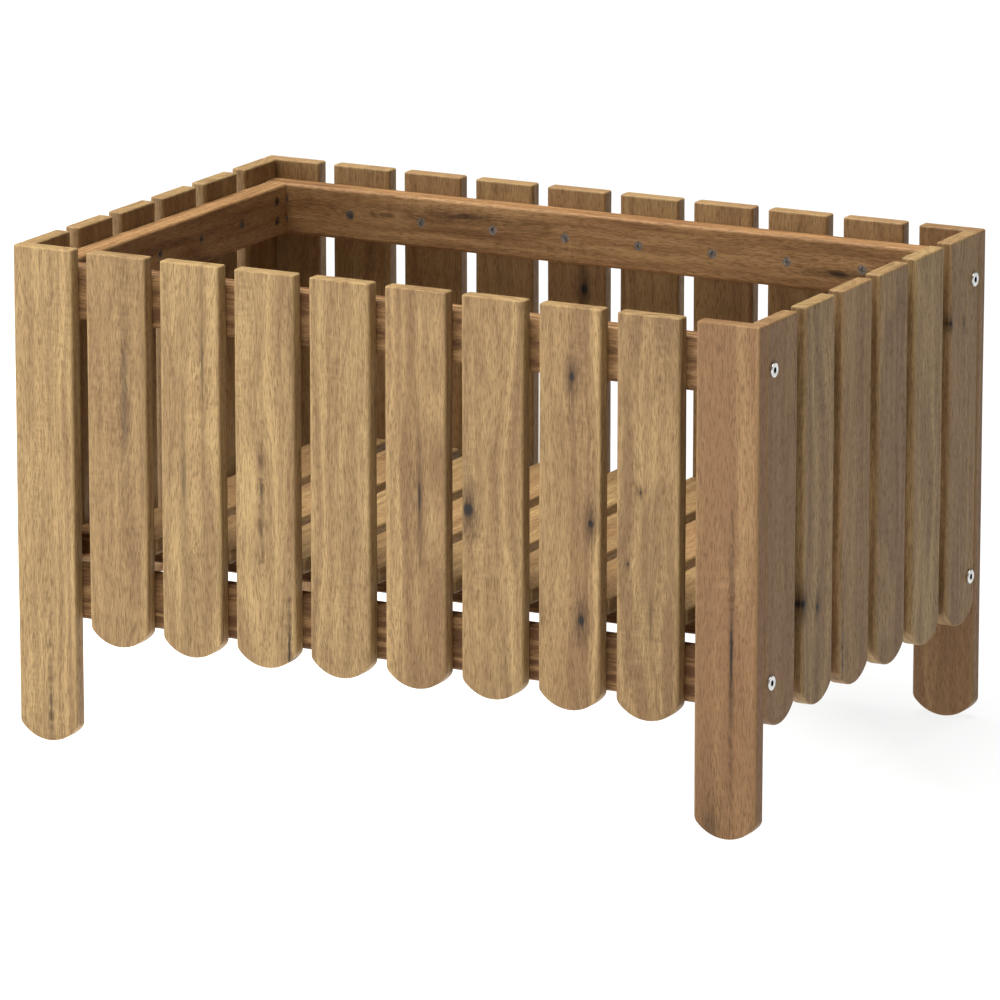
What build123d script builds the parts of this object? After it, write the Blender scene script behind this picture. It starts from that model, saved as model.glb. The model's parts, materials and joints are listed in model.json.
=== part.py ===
"""Raised slatted planter on four legs.

Four bolted panels make the box. Each long panel is two legs and eight slats screwed to an upper
and a lower rail. Each short panel is six slats screwed to two shorter rails that fit between the
long ones. Bolts through the end slats go into threaded inserts in the ends of the long rails. A
loose slatted floor on two battens rests on the short lower rails.

Frame: millimetres, +Z up, +X along the long side, front of the planter towards -Y. The origin is
on the ground, under the centre of the box.
"""

from build123d import *
import os

# Stock: every leg, slat and floor board is cut from the same board.
SLAT_WIDTH = 55.0
SLAT_THICK = 14.0
SLAT_GAP = 14.0
ARRIS = 3.0  # radius along a board's long edges
END_ARRIS = 2.0  # radius round a board's ends

# Layout of the sides.
LONG_SIDE_UPRIGHTS = 10  # a leg, eight slats, a leg
SHORT_SIDE_SLATS = 6
TOP_Z = 416.0  # level top of every leg and slat
SLAT_TIP_Z = 88.0  # lowest point of a slat's rounded lower end
LEG_TIP_Z = 0.0
TIP_DROP = 15.0  # how far a rounded end reaches below its own corners

# Rails that the slats are screwed to.
RAIL_THICK = 20.0
RAIL_HEIGHT = 44.0
UPPER_RAIL_Z = 356.0  # underside of the upper rails
LOWER_RAIL_Z = 104.0  # underside of the lower rails
RAIL_ARRIS = 3.0

# Loose floor.
FLOOR_TOP_Z = 180.0
FLOOR_BOARDS = 8
FLOOR_END_CLEAR = 2.0  # from a floor board's end to the slats
BATTEN_WIDTH = 40.0
BATTEN_THICK = 18.0
BATTEN_OFFSET = 140.0  # from the middle of the planter to the middle of a batten
BATTEN_END_CLEAR = 4.0  # from a batten's end to the side slats
BATTEN_ARRIS = 2.0

# Countersunk wood screws with a cross recess.
SCREW_HEAD_RADIUS = 4.0
SCREW_HEAD_HEIGHT = 2.2
SCREW_RADIUS = 2.0
SCREW_TIP_LENGTH = 5.0
SCREW_SUNK = 0.3  # how far a head lies under the wood's surface
RAIL_SCREW_LENGTH = 29.0
FLOOR_SCREW_LENGTH = 28.0
RECESS_SLOT = (4.4, 0.9, 1.5)  # one arm of the cross recess: length, width, depth
LEG_SCREW_X = 306.0  # paired leg screws, from the middle of a long rail
END_SLAT_SCREW_Y = 164.0  # paired end-slat screws, from the middle of a short rail
PAIR_RISE = 8.7  # each screw of a pair, above or below the rail's centre line
WOOD_CLEARANCE = 0.1  # all round a fastener in its hole

# M6 furniture bolts with flat round heads, and their threaded inserts.
BOLT_HEAD_RADIUS = 6.0
BOLT_HEAD_HEIGHT = 2.0
BOLT_HEAD_EDGE = 0.7
BOLT_RADIUS = 3.0
BOLT_LENGTH = 40.0
HEX_ACROSS_FLATS = 4.0
HEX_DEPTH = 1.4
INSERT_RADIUS = 4.9
INSERT_BORE_RADIUS = 3.1
INSERT_LENGTH = 12.9
INSERT_RINGS = 4  # coarse ridges that grip the wood
INSERT_RING_DEPTH = 0.5
BOLT_HOLE_DEPTH = 30.0  # in the end of a long rail

# Sizes that follow from the ones above.
PITCH = SLAT_WIDTH + SLAT_GAP
HALF_LENGTH = (LONG_SIDE_UPRIGHTS * PITCH - SLAT_GAP) / 2
HALF_DEPTH = (SHORT_SIDE_SLATS * PITCH - SLAT_GAP) / 2 + SLAT_THICK
INNER_HALF_LENGTH = HALF_LENGTH - SLAT_THICK  # to the inner faces of the side slats
INNER_HALF_DEPTH = HALF_DEPTH - SLAT_THICK  # to the inner faces of the front and back slats
LONG_RAIL_Y = INNER_HALF_DEPTH - RAIL_THICK / 2
SHORT_RAIL_X = INNER_HALF_LENGTH - RAIL_THICK / 2
SHORT_RAIL_LENGTH = 2 * (INNER_HALF_DEPTH - RAIL_THICK)
RAIL_LEVELS = {"upper": UPPER_RAIL_Z + RAIL_HEIGHT / 2, "lower": LOWER_RAIL_Z + RAIL_HEIGHT / 2}
BATTEN_Z = FLOOR_TOP_Z - SLAT_THICK - BATTEN_THICK / 2


def centres(count):
    """Positions of count boards spaced one pitch apart about the middle."""
    return [(i - (count - 1) / 2) * PITCH for i in range(count)]


def upright(tip_z):
    """A leg or slat facing Y: level top, and a lower end cut to one shallow arc."""
    half = SLAT_WIDTH / 2
    corner_z = tip_z + TIP_DROP
    outline = Polyline((-half, corner_z), (-half, TOP_Z), (half, TOP_Z), (half, corner_z))
    outline += ThreePointArc((half, corner_z), (0, tip_z), (-half, corner_z))
    board = extrude(Plane.XZ * make_face(outline), SLAT_THICK / 2, both=True)
    board = fillet(board.edges().filter_by(Axis.Z), ARRIS)
    ends = board.faces().sort_by(Axis.Z)
    rims = ends[-1].edges() + ends[0].edges()
    return fillet(rims, END_ARRIS)


def plank(length, width, thick, radius, end_radius=0.0):
    """A board lying along X, wide in Y, with its long edges rounded and its ends optionally."""
    board = Box(length, width, thick)
    board = fillet(board.edges().filter_by(Axis.X), radius)
    if end_radius:
        ends = board.faces().sort_by(Axis.X)
        board = fillet(ends[0].edges() + ends[-1].edges(), end_radius)
    return board


def turned(points):
    """A solid of revolution about Z from (radius, height) points."""
    return revolve(Plane.XZ * make_face(Polyline(*points, close=True)), Axis.Z)


def wood_screw(length):
    """Countersunk screw whose head's top is at the origin and whose tip points down -Z."""
    body = turned([
        (0, 0),
        (SCREW_HEAD_RADIUS, 0),
        (SCREW_RADIUS, -SCREW_HEAD_HEIGHT),
        (SCREW_RADIUS, SCREW_TIP_LENGTH - length),
        (0, -length),
    ])
    arm_length, arm_width, depth = RECESS_SLOT
    cross = Box(arm_length, arm_width, 2 * depth) + Box(arm_width, arm_length, 2 * depth)
    return body - cross


def screw_hole(length):
    """The hole a screw needs: its own outline with clearance, open up to the wood's surface."""
    wide = SCREW_HEAD_RADIUS + WOOD_CLEARANCE
    narrow = SCREW_RADIUS + WOOD_CLEARANCE
    end = -length - WOOD_CLEARANCE
    return turned([
        (0, SCREW_SUNK + 1),
        (wide, SCREW_SUNK + 1),
        (wide, -WOOD_CLEARANCE),
        (narrow, -SCREW_HEAD_HEIGHT - WOOD_CLEARANCE),
        (narrow, end),
        (0, end),
    ])


def bolt():
    """Furniture bolt: the head's underside is at the origin and the shank points down -Z."""
    head = Pos(0, 0, BOLT_HEAD_HEIGHT / 2) * Cylinder(BOLT_HEAD_RADIUS, BOLT_HEAD_HEIGHT)
    head = fillet(head.edges().sort_by(Axis.Z)[-1], BOLT_HEAD_EDGE)
    socket = RegularPolygon(HEX_ACROSS_FLATS / 2, 6, major_radius=False)
    head -= Pos(0, 0, BOLT_HEAD_HEIGHT - HEX_DEPTH) * extrude(socket, BOLT_HEAD_HEIGHT)
    shank = Pos(0, 0, -BOLT_LENGTH / 2) * Cylinder(BOLT_RADIUS, BOLT_LENGTH)
    shank = chamfer(shank.edges().sort_by(Axis.Z)[0], BOLT_RADIUS / 4)
    return head + shank


def insert_nut():
    """Threaded insert with ridges round it: its outer end is at the origin, its body below."""
    ring = INSERT_LENGTH / INSERT_RINGS
    points = [(INSERT_BORE_RADIUS, 0), (INSERT_RADIUS, 0)]
    for i in range(INSERT_RINGS):
        points.append((INSERT_RADIUS, -(i + 0.5) * ring))
        points.append((INSERT_RADIUS - INSERT_RING_DEPTH, -(i + 0.8) * ring))
        points.append((INSERT_RADIUS, -(i + 1) * ring))
    points.append((INSERT_BORE_RADIUS, -INSERT_LENGTH))
    return turned(points)


def bolt_hole():
    """What a bolt and its insert take out of an end slat and a long rail, origin as for bolt()."""
    radius = BOLT_RADIUS + 2 * WOOD_CLEARANCE
    depth = SLAT_THICK + BOLT_HOLE_DEPTH
    seat_length = INSERT_LENGTH + WOOD_CLEARANCE
    shaft = Pos(0, 0, (1 - depth) / 2) * Cylinder(radius, depth + 1)
    seat_z = -SLAT_THICK - seat_length / 2
    return shaft + Pos(0, 0, seat_z) * Cylinder(INSERT_RADIUS + WOOD_CLEARANCE, seat_length)


def outward(x, y, z, direction):
    """A placement at (x, y, z) whose local +Z points along direction."""
    return Plane(origin=(x, y, z), z_dir=direction).location


def rail_screws(side):
    """Placements of the screws in one side's two rails, with heads on the rails' inner faces."""
    places = []
    for level in RAIL_LEVELS.values():
        if side in ("front", "back"):
            out = 1 if side == "back" else -1
            y = out * (INNER_HALF_DEPTH - RAIL_THICK + SCREW_SUNK)
            spots = [(x, 0) for x in centres(LONG_SIDE_UPRIGHTS)[1:-1]]
            spots += [(x, rise) for x in (-LEG_SCREW_X, LEG_SCREW_X) for rise in (-PAIR_RISE, PAIR_RISE)]
            places += [outward(x, y, level + rise, (0, -out, 0)) for x, rise in spots]
        else:
            out = 1 if side == "right" else -1
            x = out * (INNER_HALF_LENGTH - RAIL_THICK + SCREW_SUNK)
            spots = [(y, 0) for y in centres(SHORT_SIDE_SLATS)[1:-1]]
            ends = (-END_SLAT_SCREW_Y, END_SLAT_SCREW_Y)
            spots += [(y, rise) for y in ends for rise in (-PAIR_RISE, PAIR_RISE)]
            places += [outward(x, y, level + rise, (-out, 0, 0)) for y, rise in spots]
    return places


def floor_screws():
    """Placements of the screws driven up through the battens, one at each board."""
    z = BATTEN_Z - BATTEN_THICK / 2 + SCREW_SUNK
    offsets = (-BATTEN_OFFSET, BATTEN_OFFSET)
    return [outward(x, y, z, (0, 0, -1)) for y in offsets for x in centres(FLOOR_BOARDS)]


def corner_bolts():
    """Placements of the eight bolts, with heads on the outer faces of the end slats."""
    return [
        outward(end * HALF_LENGTH, side * LONG_RAIL_Y, level, (end, 0, 0))
        for end in (-1, 1)
        for side in (-1, 1)
        for level in RAIL_LEVELS.values()
    ]


def boxes_meet(a, b):
    """Whether two bounding boxes share some space."""
    lows = tuple(a.min) + tuple(b.min)
    highs = tuple(b.max) + tuple(a.max)
    return all(low < high for low, high in zip(lows, highs))


def drilled(blank, places, tool):
    """The blank with the tool cut out at each place that touches it."""
    box = blank.bounding_box()
    tools = [place * tool for place in places]
    near = [placed for placed in tools if boxes_meet(placed.bounding_box(), box)]
    return blank - near if near else blank


def save(name, shape):
    """Write one sub-part to its own file."""
    export_step(shape, f"parts/{name}.step")


def main():
    """Make every piece of the planter and write it out."""
    os.makedirs("parts", exist_ok=True)
    rail_hole = screw_hole(RAIL_SCREW_LENGTH)
    floor_hole = screw_hole(FLOOR_SCREW_LENGTH)
    joint_hole = bolt_hole()
    bolts = corner_bolts()
    screws = {side: rail_screws(side) for side in ("front", "back", "left", "right")}

    # Legs and slats of the two long sides.
    slat = upright(SLAT_TIP_Z)
    leg = upright(LEG_TIP_Z)
    last = LONG_SIDE_UPRIGHTS - 1
    for side, out in (("front", -1), ("back", 1)):
        y = out * (HALF_DEPTH - SLAT_THICK / 2)
        for i, x in enumerate(centres(LONG_SIDE_UPRIGHTS)):
            is_leg = i in (0, last)
            blank = Pos(x, y, 0) * (leg if is_leg else slat)
            leg_name = f"leg_{side}_{'left' if i == 0 else 'right'}"
            name = leg_name if is_leg else f"{side}_slat_{i}"
            save(name, drilled(blank, screws[side], rail_hole))

    # Slats of the two short sides, whose end slats carry the bolts.
    for side, out in (("left", -1), ("right", 1)):
        x = out * (HALF_LENGTH - SLAT_THICK / 2)
        for i, y in enumerate(centres(SHORT_SIDE_SLATS), 1):
            blank = Pos(x, y, 0) * Rot(0, 0, 90) * slat
            piece = drilled(blank, screws[side], rail_hole)
            save(f"{side}_slat_{i}", drilled(piece, bolts, joint_hole))

    # Rails.
    long_rail = plank(2 * INNER_HALF_LENGTH, RAIL_THICK, RAIL_HEIGHT, RAIL_ARRIS)
    short_rail = Rot(0, 0, 90) * plank(SHORT_RAIL_LENGTH, RAIL_THICK, RAIL_HEIGHT, RAIL_ARRIS)
    for level, z in RAIL_LEVELS.items():
        for side, out in (("front", -1), ("back", 1)):
            blank = Pos(0, out * LONG_RAIL_Y, z) * long_rail
            piece = drilled(blank, screws[side], rail_hole)
            save(f"rail_{side}_{level}", drilled(piece, bolts, joint_hole))
        for side, out in (("left", -1), ("right", 1)):
            blank = Pos(out * SHORT_RAIL_X, 0, z) * short_rail
            save(f"rail_{side}_{level}", drilled(blank, screws[side], rail_hole))

    # Floor boards and the battens under them.
    board_length = 2 * (INNER_HALF_DEPTH - FLOOR_END_CLEAR)
    board = Rot(0, 0, 90) * plank(board_length, SLAT_WIDTH, SLAT_THICK, ARRIS, END_ARRIS)
    batten_length = 2 * (INNER_HALF_LENGTH - BATTEN_END_CLEAR)
    batten = plank(batten_length, BATTEN_WIDTH, BATTEN_THICK, BATTEN_ARRIS)
    for i, x in enumerate(centres(FLOOR_BOARDS), 1):
        blank = Pos(x, 0, FLOOR_TOP_Z - SLAT_THICK / 2) * board
        save(f"floor_board_{i}", drilled(blank, floor_screws(), floor_hole))
    for side, out in (("front", -1), ("back", 1)):
        blank = Pos(0, out * BATTEN_OFFSET, BATTEN_Z) * batten
        save(f"floor_batten_{side}", drilled(blank, floor_screws(), floor_hole))

    # Fasteners, one node for each identical group.
    rail_screw = wood_screw(RAIL_SCREW_LENGTH)
    for side, places in screws.items():
        save(f"screws_{side}", Compound([place * rail_screw for place in places]))
    floor_screw = wood_screw(FLOOR_SCREW_LENGTH)
    save("screws_floor", Compound([place * floor_screw for place in floor_screws()]))
    save("corner_bolts", Compound([place * bolt() for place in bolts]))
    nut = Pos(0, 0, -SLAT_THICK) * insert_nut()
    save("insert_nuts", Compound([place * nut for place in bolts]))


main()
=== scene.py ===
"""Looks of the raised slatted planter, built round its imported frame.

The planter is acacia: boards sawn, planed, eased along their edges, stained and lightly oiled. Each
leg, slat and floor board is a numpy surface in the space of its CAD node, with an attribute that
carries its place in the timber it was sawn from, so that grain, end grain, pores and knots are one
solid pattern that runs round every edge. Rails, battens and screws keep their CAD shape.
Sizes here are millimetres until a mesh is written, in metres.
"""

from __future__ import annotations

import json
import logging
import math
from dataclasses import dataclass, field
from enum import Enum
from typing import Any

import bmesh
import bpy
import numpy as np
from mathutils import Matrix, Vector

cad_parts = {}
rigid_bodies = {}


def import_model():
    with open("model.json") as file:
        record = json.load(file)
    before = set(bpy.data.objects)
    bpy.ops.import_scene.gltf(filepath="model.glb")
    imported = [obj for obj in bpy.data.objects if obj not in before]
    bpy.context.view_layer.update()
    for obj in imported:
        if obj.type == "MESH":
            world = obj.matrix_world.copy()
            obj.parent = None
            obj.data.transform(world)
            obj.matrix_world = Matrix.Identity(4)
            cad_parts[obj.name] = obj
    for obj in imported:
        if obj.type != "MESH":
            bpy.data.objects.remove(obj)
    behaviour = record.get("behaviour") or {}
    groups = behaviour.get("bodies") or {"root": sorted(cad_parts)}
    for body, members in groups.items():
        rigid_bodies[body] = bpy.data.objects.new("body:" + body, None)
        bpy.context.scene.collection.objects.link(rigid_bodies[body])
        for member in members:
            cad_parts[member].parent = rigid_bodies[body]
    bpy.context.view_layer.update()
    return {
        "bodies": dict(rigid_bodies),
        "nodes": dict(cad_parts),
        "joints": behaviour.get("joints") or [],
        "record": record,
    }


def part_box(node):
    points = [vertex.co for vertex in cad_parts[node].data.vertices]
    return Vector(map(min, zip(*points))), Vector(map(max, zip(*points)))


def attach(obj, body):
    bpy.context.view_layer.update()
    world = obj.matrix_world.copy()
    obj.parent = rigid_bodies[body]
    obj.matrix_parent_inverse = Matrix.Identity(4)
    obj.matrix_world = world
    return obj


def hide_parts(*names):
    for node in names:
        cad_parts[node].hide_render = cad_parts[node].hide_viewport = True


LOG = logging.getLogger("planter")
MM = 0.001
MARKS_PER_BOARD = 4
# A mark this many radii away doesn't show.
FAR = 1000.0
Feed = tuple | dict


class Grain(Enum):
    """The world axis that a board's grain runs along."""

    X = 0
    Y = 1
    Z = 2


class EndCut(Enum):
    """How a board's low end is cut."""

    SQUARE = "square"
    ROUNDED = "rounded"


# Materials ------------------------------------------------------------------------------


def linear(hex_colour: str) -> tuple[float, float, float, float]:
    """Turn an sRGB hex colour into linear RGBA.

    Args:
        hex_colour: six hex digits, with or without a leading #.

    Returns:
        Linear red, green, blue and an alpha of 1.
    """
    digits = hex_colour.lstrip("#")
    channels = [int(digits[i : i + 2], 16) / 255 for i in (0, 2, 4)]
    scaled = [c / 12.92 if c <= 0.04045 else ((c + 0.055) / 1.055) ** 2.4 for c in channels]
    return (scaled[0], scaled[1], scaled[2], 1.0)


def add(tree: bpy.types.NodeTree, kind: str, feed: Feed = (), **settings: Any) -> bpy.types.Node:
    """Add one node, set it up and feed its inputs.

    Args:
        tree: the node tree to add to.
        kind: the node's type name, without its ShaderNode prefix.
        feed: values for the first inputs in order, or by an input's name or index. A value is a
            plain one, an output socket, or a node, which stands for its first output.
        settings: attributes of the node.

    Returns:
        The new node.
    """
    node = tree.nodes.new("ShaderNode" + kind)
    for key, value in settings.items():
        setattr(node, key, value)
    for key, value in feed.items() if isinstance(feed, dict) else enumerate(feed):
        if isinstance(value, bpy.types.Node):
            value = value.outputs[0]
        if isinstance(value, bpy.types.NodeSocket):
            tree.links.new(value, node.inputs[key])
        else:
            node.inputs[key].default_value = value
    return node


def new_material(name: str) -> tuple[bpy.types.Material, bpy.types.NodeTree, bpy.types.Node]:
    """Make an empty material.

    Args:
        name: the material's name.

    Returns:
        The material, its node tree and its Principled shader, joined to the output.
    """
    material = bpy.data.materials.new(name)
    material.use_nodes = True
    tree = material.node_tree
    tree.nodes.clear()
    shader = add(tree, "BsdfPrincipled")
    add(tree, "OutputMaterial", {"Surface": shader})
    return material, tree, shader


@dataclass(frozen=True)
class Mark:
    """A knot, or a dark streak where the grain closed over a branch.

    Attributes:
        across: millimetres from the board's middle line.
        along: world millimetres along the grain.
        radius: half its width.
        length: half its length, or None for a round knot.
        strength: how dark it is, from 0 to 1.
    """

    across: float
    along: float
    radius: float
    length: float | None = None
    strength: float = 1.0

    @property
    def reach(self) -> float:
        """Half the mark's length."""
        return self.length or 1.35 * self.radius


@dataclass(frozen=True)
class Band:
    """A strip of sapwood or heartwood along a board.

    Attributes:
        across: millimetres from the board's middle line to the strip's.
        half: half its width.
        strength: how much paler it is than the board, or darker if below zero.
    """

    across: float
    half: float
    strength: float


@dataclass(frozen=True)
class Timber:
    """Where a wood finish reads its pattern: a board's attributes, or object space for a rail.

    Attributes:
        grain: None to read attributes, or the world axis that the grain runs along.
        shift: millimetres added in object space, so that rails aren't cut from one place.
        marks: for object space, marks whose across is a height in world millimetres.
    """

    grain: Grain | None = None
    shift: tuple[float, float, float] = (0.0, 0.0, 0.0)
    marks: tuple[Mark, ...] = ()

    def coordinates(self, tree: bpy.types.NodeTree) -> tuple[bpy.types.NodeSocket, list]:
        """Build the pattern's coordinates: across, through and along the grain, in millimetres.

        Args:
            tree: the node tree to add to.

        Returns:
            The stock coordinates, and a vector for each mark: across in radii, strength, and along
            in lengths.
        """
        if self.grain is None:
            stock = add(tree, "Attribute", attribute_name="stock").outputs["Vector"]
            names = [f"mark_{i}" for i in range(MARKS_PER_BOARD)]
            return stock, [add(tree, "Attribute", attribute_name=n).outputs["Vector"] for n in names]
        place = add(tree, "TexCoord").outputs["Object"]
        turn = {
            Grain.X: (0.0, -math.pi / 2, 0.0),
            Grain.Y: (math.pi / 2, 0.0, 0.0),
            Grain.Z: (0.0, 0.0, 0.0),
        }
        measured = (place, (1 / MM,) * 3, self.shift)
        measured = add(tree, "VectorMath", measured, operation="MULTIPLY_ADD")
        feed = {"Vector": measured, "Rotation": turn[self.grain]}
        stock = add(tree, "Mapping", feed, vector_type="POINT").outputs[0]
        marks = []
        for mark in self.marks:
            size = (1 / MM / mark.reach, 0.0, 1 / MM / mark.radius)
            middle = (-mark.along / mark.reach, mark.strength, -mark.across / mark.radius)
            near = add(tree, "VectorMath", (place, size, middle), operation="MULTIPLY_ADD")
            feed = {"Vector": near, "Rotation": turn[Grain.X]}
            marks.append(add(tree, "Mapping", feed, vector_type="POINT").outputs[0])
        return stock, marks


@dataclass(frozen=True)
class Acacia:
    """Acacia, planed, stained and lightly oiled.

    To the eye it is golden-tan sapwood streaks over a browner ground, with redder patches, curly
    ripples here and there, short dark open pores along the grain, near-black knots with the grain
    swept round them, and a low satin sheen that the fibres break up.

    Attributes:
        name: the material's name.
        pale, middle, dark: colours of sapwood, stained wood and heart streaks.
        red: the warmer brown that some boards and patches lean to.
        pore: colour inside the open pores, and round a knot.
        knot: colour of a knot's heart.
        roughness: how dull the oil is.
        contrast: how strongly the streaks stand out.
        drift, streak, fibre, vessel, curl: millimetres across and along the grain of its slow
            wander, its streaks, its bundles of fibres, its open pores and its curly ripples. The
            fibres are drawn a little coarse, and the pores twice as wide as real, to show.
        wander: millimetres that the grain strays sideways.
        ring: width of a growth ring.
        pith: millimetres from a board's middle to the tree's, across and through.
        blush: how far the redder patches lean to the warmer brown, at most.
        pore_share, arris_highlight_share: how much of the pores and of the painted highlight on the
            arrises shows.
        halo_share, knot_share: how much of a knot's halo and of its heart shows.
        cut_end: how much paler a cut end is.
        ior, gloss: the oil's index of refraction and its specular level.
    """

    name: str = "stained_acacia"
    pale: str = "#AC8F60"
    middle: str = "#93774F"
    dark: str = "#7A5E3D"
    red: str = "#875E3D"
    pore: str = "#49331B"
    knot: str = "#15100B"
    roughness: float = 0.5
    contrast: float = 1.0
    drift: tuple[float, float] = (38.0, 170.0)
    streak: tuple[float, float] = (8.0, 150.0)
    fibre: tuple[float, float] = (0.85, 13.0)
    vessel: tuple[float, float] = (0.68, 8.0)
    curl: tuple[float, float] = (16.0, 3.2)
    wander: float = 17.0
    ring: float = 4.0
    pith: tuple[float, float] = (14.0, 52.0)
    blush: float = 0.12
    pore_share: float = 0.46
    arris_highlight_share: float = 0.25
    halo_share: float = 0.92
    knot_share: float = 0.95
    cut_end: float = 0.2
    ior: float = 1.48
    gloss: float = 0.25

    def material(self, timber: Timber, tone: float = 0.0, warm: float = 0.0) -> bpy.types.Material:
        """Build the finish.

        Args:
            timber: where the pattern is read from.
            tone: lightness from -1 to 1, for a finish in object space.
            warm: how far it leans to the warmer brown, from 0 to 1, for object space.

        Returns:
            The material.
        """
        material, tree, shader = new_material(self.name)
        stock, marks = timber.coordinates(tree)
        grain, hearts = self._pulled(tree, stock, marks)
        # The grain wanders slowly, which bends every finer pattern with it.
        slow = self._figure(tree, grain, self.drift, 1.0).outputs["Color"]
        stray = add(tree, "VectorMath", (slow, (0.5, 0.5, 0.5)), operation="SUBTRACT")
        flow = (stray, (self.wander, self.wander, 0.0), grain)
        flow = add(tree, "VectorMath", flow, operation="MULTIPLY_ADD")
        sideways, redness, patch = add(tree, "SeparateXYZ", (stray,)).outputs
        fibres = self._figure(tree, flow, self.fibre)

        mix = self._streaks(tree, flow, fibres, patch)
        # Painted highlight: wear here is how far a point lies on an eased arris, which is painted
        # paler.
        wear: bpy.types.NodeSocket | float = 0.0
        if timber.grain is None:
            look = add(tree, "Attribute", attribute_name="look").outputs["Vector"]
            tone, warm, wear = add(tree, "SeparateXYZ", (look,)).outputs
            mix = self._ends_and_band(tree, mix, sideways)
        # Redder patches come and go along every board.
        redder = {"Value": redness, "From Min": 0.0, "From Max": 0.2, "To Max": self.blush}
        warm = add(tree, "Math", (add(tree, "MapRange", redder), warm), operation="ADD")
        mix = add(tree, "Math", (tone, 0.5, mix), operation="MULTIPLY_ADD")
        ramp = add(tree, "ValToRGB", (mix,))
        ramp.color_ramp.elements.new(0.5)
        stops = ((0.1, self.dark), (0.5, self.middle), (0.9, self.pale))
        for element, (position, colour) in zip(ramp.color_ramp.elements, stops):
            element.position, element.color = position, linear(colour)
        colour = add(tree, "MixRGB", (warm, ramp, linear(self.red)))

        # Pores: short dark dashes where the vessel noise is low.
        vessels = self._figure(tree, flow, self.vessel, 1.0)
        pores = add(tree, "MapRange", {"Value": vessels, "From Min": 0.5, "From Max": 0.36})
        share = add(tree, "Math", (pores, self.pore_share), operation="MULTIPLY")
        colour = add(tree, "MixRGB", (share, colour, linear(self.pore)))
        # Painted highlight: the eased arrises are coloured a little paler, as light catches them.
        share = add(tree, "Math", (wear, self.arris_highlight_share), operation="MULTIPLY")
        colour = add(tree, "MixRGB", (share, colour, linear(self.pale)))
        depth = add(tree, "Math", (pores, -0.55), operation="MULTIPLY")
        for heart in hearts:
            colour, depth = self._knotted(tree, heart, fibres, colour, depth)
        tree.links.new(colour.outputs[0], shader.inputs["Base Color"])

        # Satin oil: fibres break the sheen up, pores are dull.
        rough = add(tree, "Math", (fibres, 0.22, self.roughness - 0.11), operation="MULTIPLY_ADD")
        rough = add(tree, "Math", (pores, 0.2, rough), operation="MULTIPLY_ADD")
        tree.links.new(rough.outputs[0], shader.inputs["Roughness"])
        height = add(tree, "Math", (fibres, 0.8, depth), operation="MULTIPLY_ADD")
        bump = add(tree, "Bump", {"Strength": 0.5, "Distance": 0.2 * MM, "Height": height})
        tree.links.new(bump.outputs[0], shader.inputs["Normal"])
        shader.inputs["IOR"].default_value = self.ior
        # Stain and thin oil leave little gloss.
        shader.inputs["Specular IOR Level"].default_value = self.gloss
        return material

    @staticmethod
    def _figure(
        tree: bpy.types.NodeTree,
        source: bpy.types.Node | bpy.types.NodeSocket,
        size: tuple[float, float],
        detail: float = 2.0,
    ) -> bpy.types.Node:
        """Stretch noise along the grain.

        Args:
            tree: the node tree to add to.
            source: the timber coordinates, in millimetres.
            size: the noise's cell across and along the grain, in millimetres.
            detail: how many finer layers it has.

        Returns:
            The noise, about a half on average.
        """
        scaled = (source, (1 / size[0], 1 / size[0], 1 / size[1]))
        scaled = add(tree, "VectorMath", scaled, operation="MULTIPLY")
        feed = {"Vector": scaled, "Scale": 1.0, "Detail": detail, "Roughness": 0.6}
        return add(tree, "TexNoise", feed)

    def _streaks(
        self,
        tree: bpy.types.NodeTree,
        flow: bpy.types.Node,
        fibres: bpy.types.Node,
        patch: bpy.types.NodeSocket,
    ) -> bpy.types.Node:
        """Mix streaks, rings, fibres and ripples into one factor.

        Rings are noise over the distance from the pith, so a flat-sawn face shows flames.

        Args:
            tree: the node tree to add to.
            flow: the timber coordinates with the grain's wander.
            fibres: the fibres' noise.
            patch: a slow noise that says where the figure is curly.

        Returns:
            A factor from dark heart to pale sapwood, a half on average.
        """
        from_pith = (flow, (1.0, 1.0, 0.0), (*self.pith, 0.0))
        from_pith = add(tree, "VectorMath", from_pith, operation="MULTIPLY_ADD")
        distance = add(tree, "VectorMath", (from_pith,), operation="LENGTH").outputs["Value"]
        ring_at = add(tree, "Math", (distance, 1 / self.ring), operation="MULTIPLY")
        feed = {"W": ring_at, "Scale": 1.0, "Detail": 2.0}
        rings = add(tree, "TexNoise", feed, noise_dimensions="1D")
        streaks = self._figure(tree, flow, self.streak)
        mix = (streaks, self.contrast, -0.9 * self.contrast)
        mix = add(tree, "Math", mix, operation="MULTIPLY_ADD")
        mix = add(tree, "Math", (rings, 0.8 * self.contrast, mix), operation="MULTIPLY_ADD")
        mix = add(tree, "Math", (fibres, mix), operation="ADD")
        # Curly figure comes in patches.
        curls = self._figure(tree, flow, self.curl, 1.0)
        curls = add(tree, "Math", (curls, 0.5), operation="SUBTRACT")
        curly = {"Value": patch, "From Min": 0.03, "From Max": 0.16, "To Max": 0.55}
        ripple = add(tree, "Math", (curls, add(tree, "MapRange", curly)), operation="MULTIPLY")
        return add(tree, "Math", (ripple, mix), operation="ADD")

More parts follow.
